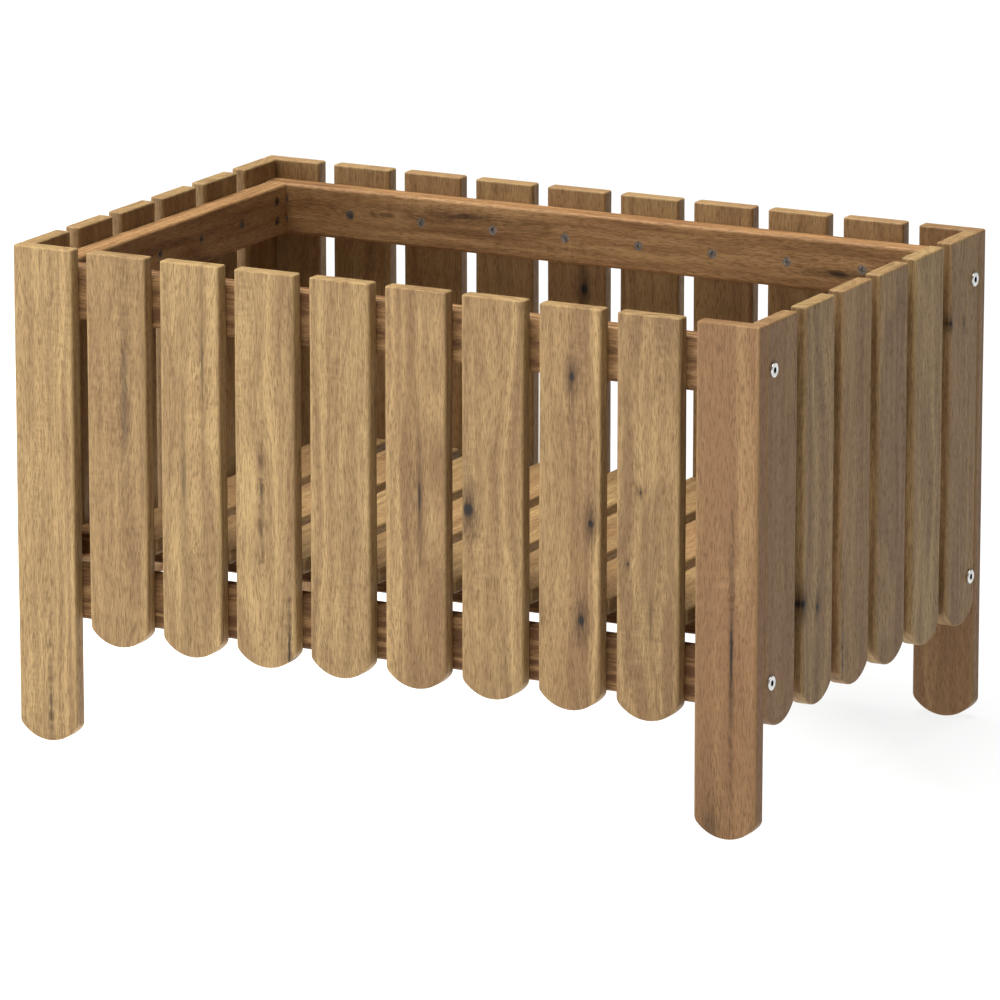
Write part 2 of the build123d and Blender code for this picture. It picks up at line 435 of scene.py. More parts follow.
    def _ends_and_band(
        self, tree: bpy.types.NodeTree, mix: bpy.types.Node, sideways: bpy.types.NodeSocket
    ) -> bpy.types.Node:
        """Lay a board's band and its paler cut ends over the streaks.

        Args:
            tree: the node tree to add to.
            mix: the factor from dark to pale so far.
            sideways: a slow noise that makes the band's edges wander by a few millimetres.

        Returns:
            The factor with both laid over it.
        """
        band = add(tree, "Attribute", attribute_name="band").outputs["Vector"]
        off, half, strength = add(tree, "SeparateXYZ", (band,)).outputs
        off = add(tree, "Math", (sideways, 14.0, off), operation="MULTIPLY_ADD")
        off = add(tree, "Math", (off,), operation="ABSOLUTE")
        inside = add(tree, "Math", (off, half), operation="SUBTRACT")
        inside = add(tree, "MapRange", {"Value": inside, "From Min": 0.7, "From Max": -0.7})
        mix = add(tree, "Math", (inside, strength, mix), operation="MULTIPLY_ADD")
        # A cut end is sanded fuzzy, which pales it.
        end = add(tree, "Attribute", attribute_name="end_grain").outputs["Fac"]
        return add(tree, "Math", (end, self.cut_end, mix), operation="MULTIPLY_ADD")

    def _knotted(
        self,
        tree: bpy.types.NodeTree,
        heart: tuple,
        fibres: bpy.types.Node,
        colour: bpy.types.Node,
        depth: bpy.types.Node,
    ) -> tuple[bpy.types.Node, bpy.types.Node]:
        """Lay a knot over the wood: a brown halo, and a sunken, near-black heart with ragged edges.

        Args:
            tree: the node tree to add to.
            heart: the mark's distance, its halo's distance and its strength.
            fibres: the fibres' noise, which makes the edges ragged.
            colour: the colour so far.
            depth: the height so far.

        Returns:
            The colour and the height with the knot.
        """
        inner, outer, strength = heart
        rag = add(tree, "Math", (fibres, 0.5), operation="SUBTRACT")
        inner = add(tree, "Math", (rag, 1.4, inner), operation="MULTIPLY_ADD")
        outer = add(tree, "Math", (rag, 3.0, outer), operation="MULTIPLY_ADD")
        halo = add(tree, "MapRange", {"Value": outer, "From Min": 3.8, "From Max": 0.6})
        core = add(tree, "MapRange", {"Value": inner, "From Min": 1.25, "From Max": 0.6})
        halo = add(tree, "Math", (halo, 1.7), operation="POWER")
        fade = add(tree, "Math", (strength, self.halo_share), operation="MULTIPLY")
        halo = add(tree, "Math", (halo, fade), operation="MULTIPLY")
        core = add(tree, "Math", (core, strength), operation="MULTIPLY")
        share = add(tree, "Math", (core, self.knot_share), operation="MULTIPLY")
        colour = add(tree, "MixRGB", (halo, colour, linear(self.pore)))
        colour = add(tree, "MixRGB", (share, colour, linear(self.knot)))
        return colour, add(tree, "Math", (core, -0.8, depth), operation="MULTIPLY_ADD")

    @staticmethod
    def _pulled(
        tree: bpy.types.NodeTree, stock: bpy.types.NodeSocket, marks: list
    ) -> tuple[bpy.types.Node | bpy.types.NodeSocket, list[tuple]]:
        """Bend the grain round the marks.

        The sideways place is pulled back towards each mark by a share that falls off as one over
        the square of one plus the squared distance, so the lines of the figure spread round it.

        Args:
            tree: the node tree to add to.
            stock: the coordinates to bend.
            marks: each mark's vector: across in radii, strength, and along in lengths.

        Returns:
            The bent coordinates, and for each mark its distance in radii, the same with the
            distance along more than halved, for its halo, and its strength.
        """
        hearts = []
        for mark in marks:
            flat = add(tree, "VectorMath", (mark, (1.0, 0.0, 1.0)), operation="MULTIPLY")
            distance = add(tree, "VectorMath", (flat,), operation="LENGTH").outputs["Value"]
            _, strength, _ = add(tree, "SeparateXYZ", (mark,)).outputs
            tall = add(tree, "VectorMath", (mark, (1.0, 0.0, 0.45)), operation="MULTIPLY")
            edge = add(tree, "VectorMath", (tall,), operation="LENGTH").outputs["Value"]
            hearts.append((distance, edge, strength))
            far = add(tree, "VectorMath", (flat, (0.22, 0.0, 0.13)), operation="MULTIPLY")
            square = add(tree, "VectorMath", (far, far), operation="DOT_PRODUCT").outputs["Value"]
            share = add(tree, "Math", (square, 1.0), operation="ADD")
            share = add(tree, "Math", (share, -2.0), operation="POWER")
            pull = add(tree, "VectorMath", (flat, (-1.5, 0.0, 0.0)), operation="MULTIPLY")
            shift = add(tree, "VectorMath", {0: pull, "Scale": share}, operation="SCALE")
            stock = add(tree, "VectorMath", (stock, shift), operation="ADD")
        return stock, hearts


@dataclass(frozen=True)
class ZincPlate:
    """Turned steel with bright zinc plating.

    To the eye it is a pale silver with blurred reflections, slightly cloudy, with fine turning
    marks, and painted shade inside the sockets.

    Attributes:
        name: the material's name.
        colour: the plating's colour.
        tarnish: the darker colour of its cloudy patches.
        roughness: how blurred its reflections are.
        shade_colour: painted shade, the near-black colour inside a socket.
        clouds: cloudy patches per millimetre.
        marks: turning marks per millimetre.
    """

    name: str
    colour: str
    tarnish: str
    roughness: float
    # Painted shade: the inside of a socket is coloured near-black to stand for its shadow.
    shade_colour: str = "#0C0B0A"
    clouds: float = 0.26
    marks: float = 2.6

    def material(self) -> bpy.types.Material:
        """Build the finish from object coordinates.

        Returns:
            The material.
        """
        material, tree, shader = new_material(self.name)
        place = add(tree, "TexCoord").outputs["Object"]
        cloud = add(tree, "TexNoise", {"Vector": place, "Scale": self.clouds / MM, "Detail": 3.0})
        turning = add(tree, "TexNoise", {"Vector": place, "Scale": self.marks / MM, "Detail": 1.0})
        cloudy = add(tree, "MapRange", {"Value": cloud, "From Min": 0.35, "From Max": 0.75})
        colour = add(tree, "MixRGB", (cloudy, linear(self.colour), linear(self.tarnish)))
        # Painted shade: points marked as inside a socket take the shade colour.
        socket_shade = add(tree, "Attribute", attribute_name="socket_shade").outputs["Fac"]
        colour = add(tree, "MixRGB", (socket_shade, colour, linear(self.shade_colour)))
        tree.links.new(colour.outputs[0], shader.inputs["Base Color"])
        rough = (cloud, 0.25, self.roughness - 0.12)
        rough = add(tree, "Math", rough, operation="MULTIPLY_ADD")
        tree.links.new(rough.outputs[0], shader.inputs["Roughness"])
        bump = add(tree, "Bump", {"Strength": 0.2, "Distance": 0.03 * MM, "Height": turning})
        tree.links.new(bump.outputs[0], shader.inputs["Normal"])
        shader.inputs["Metallic"].default_value = 1.0
        return material


# Meshes ---------------------------------------------------------------------------------


def wrapped_faces(rows: int, around: int) -> np.ndarray:
    """Join the points of a grid that closes on itself around.

    Args:
        rows: how many rows the grid has.
        around: how many points a row has.

    Returns:
        Quads of point numbers, for points in row order.
    """
    row, column = np.meshgrid(np.arange(rows - 1), np.arange(around), indexing="ij")
    here, above = row * around, (row + 1) * around
    after = (column + 1) % around
    corners = (here + column, here + after, above + after, above + column)
    return np.stack([c.ravel() for c in corners], axis=1)


def make_piece(
    name: str, points: np.ndarray, faces: np.ndarray, material: bpy.types.Material
) -> bpy.types.Object:
    """Make a closed piece from points in millimetres.

    Args:
        name: the object's name.
        points: an N by 3 array.
        faces: an M by 4 array of point numbers.
        material: its finish.

    Returns:
        The object, with its doubles merged and its faces turned outwards.
    """
    mesh = bpy.data.meshes.new(name)
    mesh.from_pydata((points * MM).tolist(), [], faces.tolist())
    work = bmesh.new()
    work.from_mesh(mesh)
    bmesh.ops.remove_doubles(work, verts=work.verts, dist=0.002 * MM)
    bmesh.ops.dissolve_degenerate(work, edges=work.edges, dist=0.002 * MM)
    bmesh.ops.recalc_face_normals(work, faces=work.faces)
    work.to_mesh(mesh)
    work.free()
    mesh.shade_smooth()
    mesh.materials.append(material)
    piece = bpy.data.objects.new(name, mesh)
    bpy.context.scene.collection.objects.link(piece)
    return piece


def dress(frame: dict, node: str, material: bpy.types.Material) -> bpy.types.Object:
    """Give a CAD node a finish in every slot.

    Args:
        node: the node's name.
        material: the finish.

    Returns:
        The node's object.
    """
    piece = frame["nodes"][node]
    mesh = piece.data
    for index in range(max(1, len(mesh.materials))):
        if len(mesh.materials) <= index:
            mesh.materials.append(material)
        else:
            mesh.materials[index] = material
    return piece


@dataclass
class Board:
    """One planed board with eased edges, standing in the space of its CAD node.

    Attributes:
        node: the CAD node that it replaces.
        grain: the axis its grain runs along.
        cut: the shape of its low end.
        tone: lightness from -1 to 1.
        warm: how far it leans to the warmer brown.
        marks: knots and dark streaks that show on its faces.
        band: a strip of another lightness, if it has one.
        seed: picks its place in the timber and the wear of its edges.
        arris: radius of its long edges, in millimetres.
        end_arris: radius of its ends' edges.
        tip_drop: how much lower the middle of a rounded end is than its corners.
        wear: how much the long edges' radius wavers.
        across_steps, through_steps, corner_steps, along_steps: how finely it is divided.
        low, high: the corners of its CAD node's box, in millimetres.
        order: the world axes that run across, through and along it.
    """

    node: str
    grain: Grain
    cut: EndCut = EndCut.SQUARE
    tone: float = 0.0
    warm: float = 0.0
    marks: tuple[Mark, ...] = ()
    band: Band | None = None
    seed: int = 0
    arris: float = 2.5
    end_arris: float = 1.6
    tip_drop: float = 15.0
    wear: float = 0.3
    across_steps: int = 18
    through_steps: int = 4
    corner_steps: int = 4
    along_steps: int = 44
    low: np.ndarray = field(init=False)
    high: np.ndarray = field(init=False)
    order: tuple[int, int, int] = field(init=False)

    def __post_init__(self) -> None:
        """Read the board's box and find which axes run across and through it."""
        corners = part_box(self.node)
        self.low = np.array(corners[0]) / MM
        self.high = np.array(corners[1]) / MM
        size = self.high - self.low
        others = [axis for axis in range(3) if axis != self.grain.value]
        others.sort(key=lambda axis: -size[axis])
        self.order = (others[0], others[1], self.grain.value)

    @property
    def middle(self) -> np.ndarray:
        """The middle of the board's box in its own order: across, through, along."""
        return ((self.low + self.high) / 2)[list(self.order)]

    def _loop(self) -> tuple[np.ndarray, np.ndarray, np.ndarray]:
        """Walk once round a rounded rectangle.

        Straight stretches are spaced by the cosine of an even angle, which crowds the points
        towards the corners. Each corner is a quarter circle.

        Returns:
            For each point, its share of the straight half width, its share of the straight half
            thickness, and the angle of its outward direction.
        """
        wide = np.cos(np.linspace(0, math.pi, self.across_steps + 1))
        thin = np.cos(np.linspace(0, math.pi, self.through_steps + 1))
        turn = np.linspace(0, math.pi / 2, self.corner_steps + 1)[1:]
        one, one_wide, one_thin = np.ones_like(turn), np.ones_like(wide), np.ones_like(thin)
        parts = (
            (one_thin, -thin, 0.0 * thin),
            (one, one, turn),
            (wide[1:], one_wide[1:], one_wide[1:] * math.pi / 2),
            (-one, one, math.pi / 2 + turn),
            (-one_thin[1:], thin[1:], one_thin[1:] * math.pi),
            (-one, -one, math.pi + turn),
            (-wide[1:], -one_wide[1:], one_wide[1:] * 1.5 * math.pi),
            (one[:-1], -one[:-1], 1.5 * math.pi + turn[:-1]),
        )
        return tuple(np.concatenate([part[i] for part in parts]) for i in range(3))

    def _lift(self, across: np.ndarray) -> np.ndarray:
        """Work out how far the low end rises: nothing if it is square, or the tip's arc.

        Args:
            across: millimetres from the board's middle line.

        Returns:
            Millimetres above the board's lowest point, of the same shape.
        """
        if self.cut is EndCut.SQUARE:
            return np.zeros_like(across)
        half_wide = (self.high - self.low)[self.order[0]] / 2
        arc_radius = (half_wide**2 + self.tip_drop**2) / (2 * self.tip_drop)
        return arc_radius - np.sqrt(arc_radius**2 - np.minimum(np.abs(across), half_wide) ** 2)

    def surface(self) -> tuple[np.ndarray, np.ndarray]:
        """Work out the board's skin as rows of a rounded rectangle from one end to the other.

        At an end the rectangle is inset: from a line in the middle of the end, out over the flat
        of the end, then over a quarter circle of the end's radius. On a rounded end every row is
        carried down by the arc: the tip's height plus the arc's radius, less the root of the
        radius squared minus the distance across squared. The radius of the long edges wavers
        slowly along the board, as sanded edges do.

        Returns:
            Points in millimetres in world order, and quads.
        """
        size = (self.high - self.low)[list(self.order)]
        half_wide, half_thick, length = size[0] / 2, size[1] / 2, size[2]
        share_wide, share_thick, angle = self._loop()
        bend = np.linspace(0, math.pi / 2, self.corner_steps + 1)
        flat_insets = np.linspace(half_thick, self.end_arris, 4)[:-1]
        end_insets = np.concatenate([flat_insets, self.end_arris * (1 - np.sin(bend))])
        end_heights = np.concatenate([np.zeros(3), self.end_arris * (1 - np.cos(bend))])
        inner = (1 - np.cos(np.linspace(0, math.pi, self.along_steps)[1:-1])) / 2
        insets = np.concatenate([end_insets, np.zeros(inner.size), end_insets[::-1]])[:, None]
        shares = np.concatenate([np.zeros(end_insets.size), inner, np.ones(end_insets.size)])[:, None]
        offsets = np.concatenate([end_heights, np.zeros(inner.size), -end_heights[::-1]])[:, None]

        rng = np.random.default_rng(self.seed + 1000)
        phases = rng.uniform(0, 2 * math.pi, (2, 4))
        along = shares * length
        corner = (angle // (math.pi / 2)).astype(int) % 4
        short, long = (along / wave for wave in (31.0, 83.0))
        waver = np.sin(short + phases[0][corner]) * 0.6 + np.sin(long + phases[1][corner])
        radius = np.maximum(self.arris + self.wear * waver - insets, 0.02)
        radius = np.minimum(radius, np.maximum(half_thick - insets, 0.0))
        across = share_wide * (half_wide - insets - radius) + radius * np.cos(angle)
        through = share_thick * (half_thick - insets - radius) + radius * np.sin(angle)

        lift = self._lift(across)
        start = lift + self.end_arris
        stop = length - self.end_arris
        body = start + shares * (stop - start)
        low_end = lift + offsets
        high_end = length + offsets
        heights = np.where(shares <= 0, low_end, np.where(shares >= 1, high_end, body))
        base = (self.middle[0], self.middle[1], self.low[self.order[2]])
        own = np.stack([across + base[0], through + base[1], heights + base[2]])
        points = np.empty((own[0].size, 3))
        for row, axis in enumerate(self.order):
            points[:, axis] = own[row].ravel()
        return points, wrapped_faces(len(insets), angle.size)

    def build(self, material: bpy.types.Material, slot: str) -> bpy.types.Object:
        """Make the board, give it its pattern attributes and hang it on the frame.

        Args:
            material: a finish that reads attributes.
            slot: the record's material slot; not used.

        Returns:
            The board's object.
        """
        piece = make_piece(self.node + "_board", *self.surface(), material)
        self._attributes(piece.data)
        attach(piece, "root")
        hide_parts(self.node)
        return piece

    def _attributes(self, mesh: bpy.types.Mesh) -> None:
        """Store on each point its place in the timber, its look, and its place from each mark.

        A point counts as end grain by how far it is inside the end's rounding.

        Args:
            mesh: the board's mesh, whose points are in metres.
        """
        flat = np.empty(len(mesh.vertices) * 3, dtype=np.float32)
        mesh.vertices.foreach_get("co", flat)
        world = flat.reshape(-1, 3).astype(float) / MM
        own = world[:, list(self.order)] - self.middle * np.array([1.0, 1.0, 0.0])
        rng = np.random.default_rng(self.seed)
        half_trunk = np.array([9.0, 16.0, 4000.0])
        sawn_at = rng.uniform(-half_trunk, half_trunk)
        flip = rng.choice((-1.0, 1.0))
        values = {"stock": own * np.array([flip, 1.0, 1.0]) + sawn_at}
        for index in range(MARKS_PER_BOARD):
            place = np.full_like(own, FAR)
            place[:, 1] = 0.0
            if index < len(self.marks):
                mark = self.marks[index]
                place[:, 0] = (own[:, 0] - mark.across) / mark.radius
                place[:, 1] = mark.strength
                place[:, 2] = (own[:, 2] - mark.along) / mark.reach
            values[f"mark_{index}"] = place
        even = np.ones(len(own))
        band = self.band or Band(0.0, 1.0, 0.0)
        band_parts = (own[:, 0] - band.across, band.half * even, band.strength * even)
        values["band"] = np.stack(band_parts, axis=1)
        half = (self.high - self.low)[list(self.order)] / 2
        # Painted highlight: points on the eased long edges are marked to be coloured paler.
        beyond = [(np.abs(own[:, i]) - half[i] + self.arris) / self.arris for i in (0, 1)]
        arris_highlight = np.sqrt(np.clip(beyond[0], 0, 1) * np.clip(beyond[1], 0, 1))
        values["look"] = np.stack((self.tone * even, self.warm * even, arris_highlight), axis=1)
        for name, array in values.items():
            attribute = mesh.attributes.new(name, "FLOAT_VECTOR", "POINT")
            attribute.data.foreach_set("vector", array.astype(np.float32).ravel())
        start = self.low[self.order[2]] + self._lift(own[:, 0]) + self.end_arris
        stop = self.high[self.order[2]] - self.end_arris
        past = np.maximum(start - own[:, 2], own[:, 2] - stop) / self.end_arris
        attribute = mesh.attributes.new("end_grain", "FLOAT", "POINT")
        attribute.data.foreach_set("value", np.clip(1.4 * past, 0, 1).astype(np.float32))


@dataclass(frozen=True)
class FurnitureBolt:
    """M6 furniture bolt: a flat round head with a softened rim, a hex socket and a threaded shank.

    The head's underside is at height zero and the shank points down.

    Attributes:
        length: the shank's length, and like all sizes here it is in millimetres.
        head_radius, head_height: size of the head.
        rim: radius of the head's rounded rim.
        across_flats, socket_depth: size of the hex socket.
        shank_radius: radius at the thread's crests.
        neck: plain shank between the head and the thread.
        point: height of the tapered end.
        taper: how much narrower the tapered end is than the thread.
        thread_pitch, thread_depth: size of the thread.
        mouth: how much wider and deeper the socket's mouth is than its hexagon.
        lip: width of the slightly dished lip round the mouth.
        drill: depth of the drill's point below the socket's floor.
        around: how many points go round it.
    """

    length: float = 40.0
    head_radius: float = 6.0
    head_height: float = 2.0
    rim: float = 0.7
    across_flats: float = 4.0
    socket_depth: float = 1.4
    shank_radius: float = 3.0
    neck: float = 5.0
    point: float = 0.8
    taper: float = 0.9
    thread_pitch: float = 1.0
    thread_depth: float = 0.35
    mouth: float = 0.35
    lip: float = 0.5
    drill: float = 0.3
    around: int = 48

    def surface(self, turn: float) -> tuple[np.ndarray, np.ndarray]:
        """Carry a profile round the axis; inside the socket the circle becomes a hexagon.

        A hexagon's radius at an angle is half its width across flats over the cosine of the angle
        from the nearest flat's middle. The thread is a zigzag of the shank's radius with height.

        Args:
            turn: how far the bolt is turned, in radians.

        Returns:
            Points and quads.
        """
        threaded = self.length - self.neck - self.thread_pitch
        crests = np.arange(0.0, threaded, self.thread_pitch / 2)
        zigzag = self.shank_radius - self.thread_depth * (np.arange(crests.size) % 2)
        tip = [0.0, self.shank_radius - self.taper]
        shank_r = np.concatenate([tip, zigzag, [self.shank_radius] * 2])
        thread_z = crests - self.length + self.point
        shank_z = np.concatenate([[-self.length, -self.length], thread_z, [-self.neck, 0.0]])
        bend = np.linspace(0, math.pi / 2, 6)
        rim_r = self.head_radius - self.rim * (1 - np.cos(bend))
        rim_z = self.head_height - self.rim * (1 - np.sin(bend))
        mouth = self.across_flats / 2 / math.cos(math.pi / 6) + self.mouth
        under = [self.head_radius - 0.1, self.head_radius]
        head_r = np.concatenate([under, rim_r, [mouth + self.lip, mouth]])
        dish = [self.head_height - 0.02, self.head_height - 0.08]
        head_z = np.concatenate([[0.0, 0.15], rim_z, dish])
        floor_z = self.head_height - self.socket_depth
        hex_z = np.array([self.head_height - self.mouth, floor_z, floor_z, floor_z - self.drill])
        hex_scale = np.array([1.0, 1.0, 0.8, 0.0])
        angle = np.linspace(0, 2 * math.pi, self.around, endpoint=False) + turn
        from_flat = (angle + math.pi / 6) % (math.pi / 3) - math.pi / 6
        hexagon = self.across_flats / 2 / np.cos(from_flat)
        circles = np.concatenate([shank_r, head_r])[:, None] * np.ones(self.around)
        radius = np.concatenate([circles, hex_scale[:, None] * hexagon])
        height = np.concatenate([shank_z, head_z, hex_z])[:, None] * np.ones(self.around)
        points = np.stack([radius * np.cos(angle), radius * np.sin(angle), height], axis=-1)
        return points.reshape(-1, 3), wrapped_faces(len(height), self.around)


# Sub-assemblies -------------------------------------------------------------------------


@dataclass(frozen=True)
class Side:
    """One side's upright boards, in order.

    Attributes:
        side: front, back, left or right.
        tones, warms: lightness and lean to the warmer brown, one value for each board.
        marks, bands: knots, streaks and bands by board number.
        seed: first seed of its boards.
        slats: how many slats it has.
    """

    side: str
    tones: tuple[float, ...]
    warms: tuple[float, ...]
    marks: dict[int, tuple[Mark, ...]]
    bands: dict[int, Band]
    seed: int
    slats: int

    def names(self) -> list[str]:
        """List the CAD nodes of its boards."""
        return [f"{self.side}_slat_{i}" for i in range(1, self.slats + 1)]

    def build(self, material: bpy.types.Material) -> list[bpy.types.Object]:
        """Make its boards in one finish.

        Args:
            material: a finish that reads attributes.

        Returns:
            The boards.
        """
        pieces = []
        for i, name in enumerate(self.names()):
            board = Board(
                node=name,
                grain=Grain.Z,
                cut=EndCut.ROUNDED,
                tone=self.tones[i],
                warm=self.warms[i],
                marks=self.marks.get(i, ()),
                band=self.bands.get(i),
                seed=self.seed + i,
            )
            pieces.append(board.build(material, "slat_acacia"))
        return pieces


@dataclass(frozen=True)
class LongSide(Side):
    """A long side, left to right: a leg, the slats, and a leg. Its fields are a side's."""

    slats: int = 8

    def names(self) -> list[str]:
        """List the CAD nodes of its boards."""
        return [f"leg_{self.side}_left", *super().names(), f"leg_{self.side}_right"]


@dataclass(frozen=True)
class ShortSide(Side):
    """A short side, front to back: slats alone. Its fields are a side's."""

    slats: int = 6


@dataclass(frozen=True)
class Floor:
    """The loose floor: boards front to back on two battens.

    Attributes:
        tones, warms: lightness and lean to the warmer brown, one value for each board.
        seed: first seed of its boards.
        batten_tone, batten_warm: the same for both battens.
        batten_apart: millimetres between the battens' places in the timber.
    """

    tones: tuple[float, ...]
    warms: tuple[float, ...]
    seed: int
    batten_tone: float = -0.2
    batten_warm: float = 0.3
    batten_apart: float = 700.0

    def build(
        self, frame: dict, boards: bpy.types.Material, finish: Acacia
    ) -> list[bpy.types.Object]:
        """Make the floor boards, and dress the battens in object space.

        Args:
            boards: the finish of the boards.
            finish: the wood of the battens.

        Returns:
            The boards and the battens.
        """
        pieces = []
        for i, (tone, warm) in enumerate(zip(self.tones, self.warms)):
            node = f"floor_board_{i + 1}"
            board = Board(node=node, grain=Grain.Y, tone=tone, warm=warm, seed=self.seed + i)
            pieces.append(board.build(boards, "floor_acacia"))
        for i, side in enumerate(("front", "back")):
            timber = Timber(grain=Grain.X, shift=(self.batten_apart * i, 0.0, 90.0))
            wood = finish.material(timber, tone=self.batten_tone, warm=self.batten_warm)
            pieces.append(dress(frame, f"floor_batten_{side}", wood))
        return pieces


@dataclass(frozen=True)
class RailLook:
    """How one rail looks.

    Attributes:
        grain: the axis that it runs along.
        tone: lightness from -1 to 1.
        warm: how far it leans to the warmer brown.
        marks: its knots, whose across is a height in world millimetres.
    """

    grain: Grain
    tone: float = 0.0
    warm: float = 0.2
    marks: tuple[Mark, ...] = ()


@dataclass(frozen=True)
class Rails:
    """The eight rails, which keep their CAD shape with its countersunk holes.

    Attributes:
        looks: each rail's look, by its CAD node.
        start: millimetres from object space to the first rail's place in the timber.
        apart: millimetres from one rail's place in the timber to the next one's.
    """

    looks: dict[str, RailLook]
    start: tuple[float, float, float] = (0.0, 0.0, -378.0)
    apart: tuple[float, float, float] = (310.0, 170.0, 9.0)

    def build(self, frame: dict, finish: Acacia) -> list[bpy.types.Object]:
        """Dress each rail from its own place in the timber.

        Args:
            finish: the wood of the rails.

        Returns:
            The rails.
        """
        pieces = []
        for i, (name, look) in enumerate(self.looks.items()):
            shift = tuple(start + i * apart for start, apart in zip(self.start, self.apart))
            timber = Timber(grain=look.grain, shift=shift, marks=look.marks)
            wood = finish.material(timber, tone=look.tone, warm=look.warm)
            pieces.append(dress(frame, name, wood))
        return pieces


@dataclass(frozen=True)
class Fasteners:
    """Bolts, inserts and screws.

    Attributes:
        bolt: the corner bolts' sizes.
        bright, dull, raw: the plating of the bolts, the wood screws and the inserts.
        sharp: degrees past which a bolt's edges shade sharp.
        seed: picks how far each bolt is turned.
    """

    bolt: FurnitureBolt = FurnitureBolt()
    bright: ZincPlate = ZincPlate("bright_zinc_bolt", "#E4E4E2", "#BDBDBB", 0.34)
    dull: ZincPlate = ZincPlate("zinc_wood_screw", "#968E85", "#5B544D", 0.45)
    raw: ZincPlate = ZincPlate("zinc_insert", "#B4B2A8", "#8A887E", 0.42)
    sharp: float = 35.0
    seed: int = 77

    def build(self, frame: dict) -> list[bpy.types.Object]:
        """Make the corner bolts, and dress the screws and inserts.


        Returns:
            The bolts, the screws and the inserts.
        """
        pieces = [self._corner_bolts()]
        dull = self.dull.material()
        for side in ("front", "back", "left", "right", "floor"):
            pieces.append(dress(frame, f"screws_{side}", dull))
        pieces.append(dress(frame, "insert_nuts", self.raw.material()))
        return pieces

    def _corner_bolts(self) -> bpy.types.Object:
        """Make the eight bolts as one piece.

        They stand where the CAD group's box puts them: a head radius in from its sides, with the
        heads' undersides a head's height in from its ends.

        Returns:
            The bolts.
        """
        low, high = (np.array(corner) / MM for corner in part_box("corner_bolts"))
        face = high[0] - self.bolt.head_height
        reach = self.bolt.head_radius
        rng = np.random.default_rng(self.seed)
        all_points, all_faces, count = [], [], 0
        for end in (-1, 1):
            for y in (low[1] + reach, high[1] - reach):
                for z in (low[2] + reach, high[2] - reach):
                    points, faces = self.bolt.surface(rng.uniform(0, 1))
                    across, up, out = points.T
                    placed = (end * (face + out), end * across + y, up + z)
                    all_points.append(np.stack(placed, axis=1))
                    all_faces.append(faces + count)
                    count += len(points)
        points, faces = np.concatenate(all_points), np.concatenate(all_faces)
        piece = make_piece("corner_bolt_set", points, faces, self.bright.material())
        piece.data.set_sharp_from_angle(angle=math.radians(self.sharp))
        self._paint_socket_shade(piece.data, low, high)
        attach(piece, "root")
        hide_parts("corner_bolts")
        return piece

    def _paint_socket_shade(self, mesh: bpy.types.Mesh, low: np.ndarray, high: np.ndarray) -> None:
        """Mark the points inside the sockets, which are painted dark as their shade.

        Args:
            mesh: the bolts' mesh, whose points are in metres.
            low, high: the corners of the CAD group's box, in millimetres.
        """
        flat = np.empty(len(mesh.vertices) * 3, dtype=np.float32)
        mesh.vertices.foreach_get("co", flat)
        reach = self.bolt.head_radius
        place = np.abs(flat.reshape(-1, 3) / MM - (0.0, 0.0, (low[2] + high[2]) / 2))
        axis = np.array([high[1] - reach, (high[2] - low[2]) / 2 - reach])
        past_flats, below_face = 0.4, 0.2
        inside = np.hypot(*(place[:, 1:] - axis).T) < self.bolt.across_flats / 2 + past_flats
        deepest = high[0] - self.bolt.head_height
        sunk = (place[:, 0] < high[0] - below_face) & (place[:, 0] > deepest)
        # Painted shade: these points take the near-black socket colour.
        socket_shade = mesh.attributes.new("socket_shade", "FLOAT", "POINT")
        socket_shade.data.foreach_set("value", (inside & sunk).astype(np.float32))


@dataclass(frozen=True)
class SoftLight:
    """A far soft light, even over the whole floor.

    Attributes:
        name: the light's name.
        towards: the direction from the planter to the light.
        spread: how wide it looks, in degrees.
        power: watts a square metre.
        colour: linear red, green and blue.
    """

    name: str
    towards: tuple[float, float, float]
    spread: float
    power: float
    colour: tuple[float, float, float]

    def build(self) -> None:
        """Make the light and turn it to face the planter."""
        light = bpy.data.lights.new(self.name, "SUN")
        light.angle = math.radians(self.spread)
        light.energy = self.power
        light.color = self.colour
        lamp = bpy.data.objects.new(self.name, light)
        x, y, z = self.towards
        lamp.rotation_euler = (math.atan2(math.hypot(x, y), z), 0.0, math.atan2(x, -y))
        bpy.context.scene.collection.objects.link(lamp)


